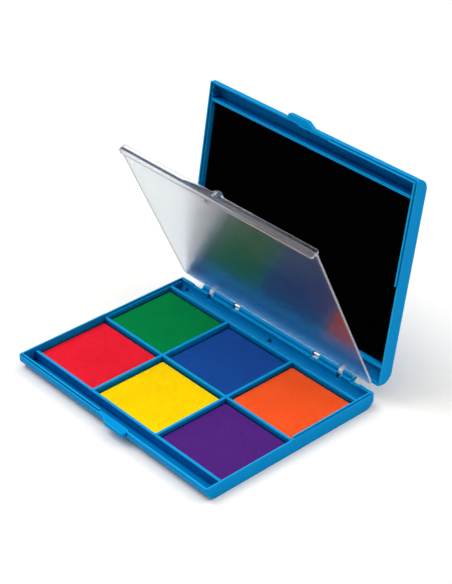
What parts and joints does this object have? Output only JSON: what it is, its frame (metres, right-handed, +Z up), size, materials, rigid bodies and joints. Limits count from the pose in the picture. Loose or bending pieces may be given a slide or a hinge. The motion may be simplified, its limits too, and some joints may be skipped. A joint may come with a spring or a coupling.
{
  "type": "ink pad",
  "caption": "Hinged flat case of rubber-stamp ink pads in a grid of wells, with a clear lift-up inner cover and a lined lid that stands open.",
  "frame": {"origin": "centre of the tray's flat underside, on the surface it stands on", "axes": "+X along the hinge, +Y from the latch edge to the hinge, +Z up; the case is drawn open, with the lid about 99.5 degrees and the inner cover 65.5 degrees from closed"},
  "size_m": [0.2, 0.1951, 0.1686],
  "materials": {
    "case_plastic": "satin",
    "clear_plastic": "satin",
    "liner_foam": "matte",
    "pin_steel": "satin",
    "red_ink": "matte",
    "yellow_ink": "matte",
    "purple_ink": "matte",
    "green_ink": "matte",
    "blue_ink": "matte",
    "orange_ink": "matte"
  },
  "bodies": {
    "case_tray": {"tray": "case_plastic", "red_foam": "red_ink", "red_ink_cloth": "red_ink", "yellow_foam": "yellow_ink", "yellow_ink_cloth": "yellow_ink", "purple_foam": "purple_ink", "purple_ink_cloth": "purple_ink", "green_foam": "green_ink", "green_ink_cloth": "green_ink", "blue_foam": "blue_ink", "blue_ink_cloth": "blue_ink", "orange_foam": "orange_ink", "orange_ink_cloth": "orange_ink"},
    "swing_cover": {"inner_cover": "clear_plastic"},
    "swing_lid": {"lid": "case_plastic", "lid_liner": "liner_foam", "hinge_pin_left": "pin_steel", "hinge_pin_right": "pin_steel"}
  },
  "joints": [
    {"name": "inner_cover_hinge", "type": "hinge", "parent": "case_tray", "child": "swing_cover", "pos_m": [0, 0.0796, 0.01105], "axis": [-1, 0, 0], "range_deg": [-65.5, 14.5]},
    {"name": "lid_hinge", "type": "hinge", "parent": "swing_cover", "child": "swing_lid", "pos_m": [0, 0.0796, 0.01105], "axis": [-1, 0, 0], "range_deg": [-34, 64]}
  ]
}
